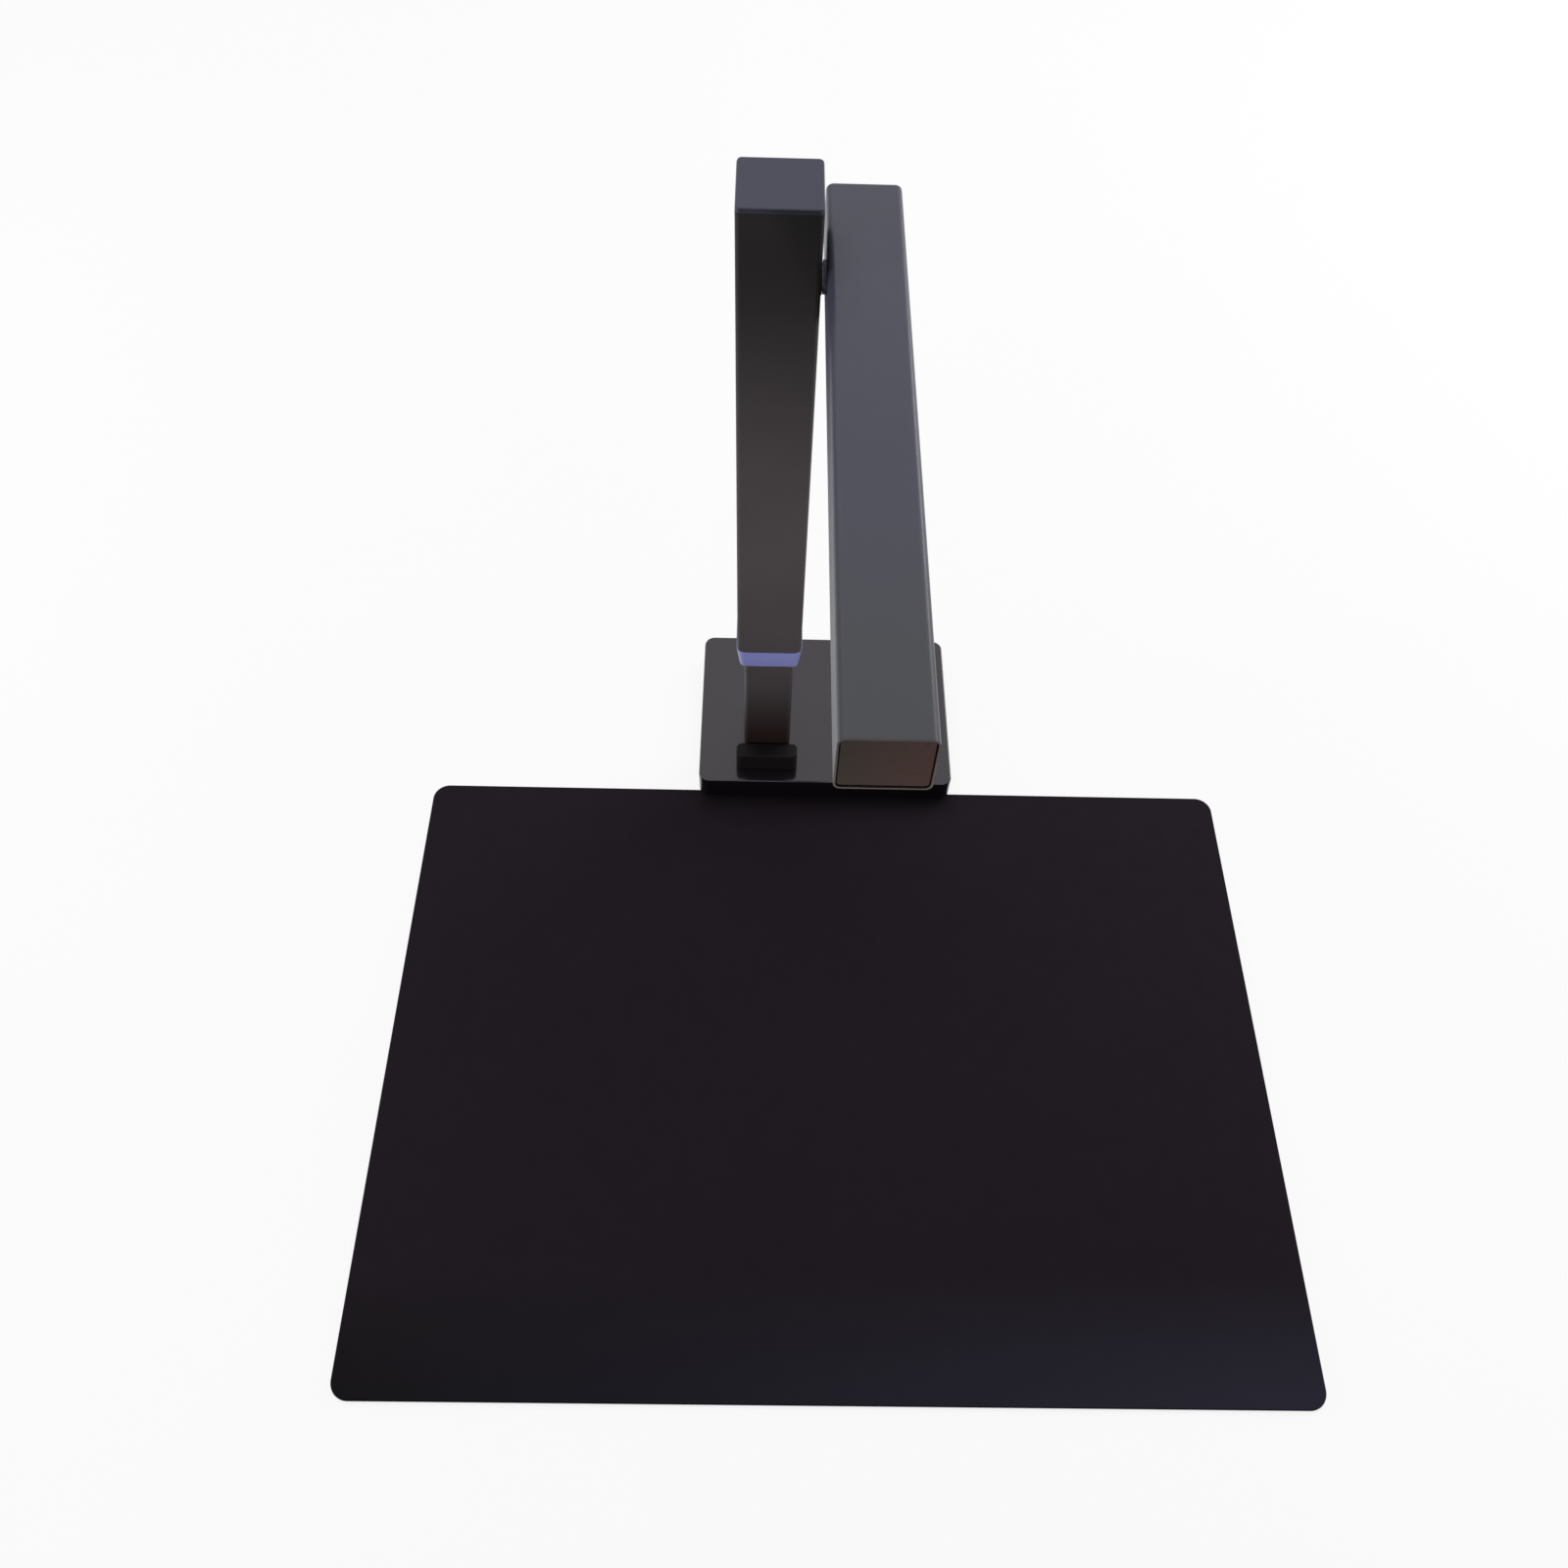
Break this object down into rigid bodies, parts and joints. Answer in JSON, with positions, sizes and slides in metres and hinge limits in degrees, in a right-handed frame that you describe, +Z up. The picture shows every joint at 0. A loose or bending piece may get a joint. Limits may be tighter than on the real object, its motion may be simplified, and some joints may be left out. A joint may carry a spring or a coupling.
{
  "type": "document camera scanner",
  "caption": "Document camera scanner: weighted base, folding telescopic mast, side-pivoted arm with a camera looking down, and a flat mat for documents.",
  "frame": {"origin": "on the table, at the middle of the footprint of mat and base together", "axes": "+X to the user's right, +Y to the rear where the mast stands, +Z up"},
  "size_m": [0.46, 0.4396, 0.375],
  "materials": {
    "mat_rubber": "matt, slightly bluish sheen",
    "gloss_shell": "high gloss moulding",
    "bracket_black": "satin black paint",
    "mast_grey": "dark grey fine-textured paint",
    "arm_grey": "dark grey fine-textured paint",
    "cap_gloss": "glossy dark brown-black",
    "cap_grey": "dark grey fine texture",
    "collar_violet": "satin blue-violet",
    "black_plastic": "fine texture",
    "foot_rubber": "matt",
    "steel": "plain",
    "zinc_steel": "zinc plated sheet",
    "pale_nylon": "natural",
    "circuit_board": "solder mask",
    "lens_glass": "coated",
    "lamp_diffuser": "milky"
  },
  "bodies": {
    "base": {"document_mat": "mat_rubber", "base_shell": "gloss_shell", "base_bottom_plate": "zinc_steel", "base_foot_front_left": "foot_rubber", "base_foot_front_right": "foot_rubber", "base_foot_rear_left": "foot_rubber", "base_foot_rear_right": "foot_rubber", "base_screw_front_left": "steel", "base_screw_front_right": "steel", "base_screw_rear_left": "steel", "base_screw_rear_right": "steel", "base_ballast": "steel", "main_board": "circuit_board", "main_board_screw_1": "steel", "main_board_screw_2": "steel", "cable_socket": "zinc_steel", "hinge_bracket": "bracket_black", "bracket_screw_1": "steel", "bracket_screw_2": "steel", "hinge_washer_left": "pale_nylon", "hinge_washer_right": "pale_nylon"},
    "lower_mast": {"hinge_knuckle": "black_plastic", "hinge_pin": "steel", "hinge_pin_nut": "steel", "lower_post": "mast_grey", "post_screw": "steel", "glide_sleeve": "pale_nylon"},
    "upper_mast": {"mast_collar": "collar_violet", "upper_column": "mast_grey", "column_cap": "cap_grey", "mast_stop_block": "black_plastic", "mast_stop_screw": "steel", "pivot_bush": "black_plastic"},
    "camera_arm": {"arm_shell": "arm_grey", "arm_front_cap": "cap_gloss", "arm_rear_cap": "cap_grey", "arm_bottom_cover": "black_plastic", "arm_screw_1": "steel", "arm_screw_2": "steel", "arm_screw_3": "steel", "pivot_axle": "steel", "pivot_friction_washer": "pale_nylon", "pivot_disc_spring_1": "steel", "pivot_disc_spring_2": "steel", "pivot_nut": "steel", "lens_bezel": "black_plastic", "lens_window": "lens_glass", "lens_barrel": "black_plastic", "lens_element": "lens_glass", "lens_holder": "black_plastic", "sensor_board": "circuit_board", "lamp_diffuser_front": "lamp_diffuser", "lamp_board_front": "circuit_board", "lamp_diffuser_rear": "lamp_diffuser", "lamp_board_rear": "circuit_board", "button_board": "circuit_board"},
    "lamp_button": {"lamp_button": "black_plastic"}
  },
  "joints": [
    {"name": "mast_fold", "type": "hinge", "parent": "base", "child": "lower_mast", "pos_m": [-0.0345, 0.16225, 0.0233], "axis": [-1, 0, 0], "range_deg": [0, 90]},
    {"name": "mast_slide", "type": "slide", "parent": "lower_mast", "child": "upper_mast", "axis": [0, 0, 1], "range_m": [-0.045, 0.045]},
    {"name": "arm_pivot", "type": "hinge", "parent": "upper_mast", "child": "camera_arm", "pos_m": [-0.0166, 0.14135, 0.3367], "axis": [-1, 0, 0], "range_deg": [-90, 90]},
    {"name": "lamp_button_press", "type": "slide", "parent": "camera_arm", "child": "lamp_button", "axis": [0, 0, 1], "range_m": [0, 0.0008], "stiffness_N_per_m": 1500, "springref_m": -0.0005}
  ]
}
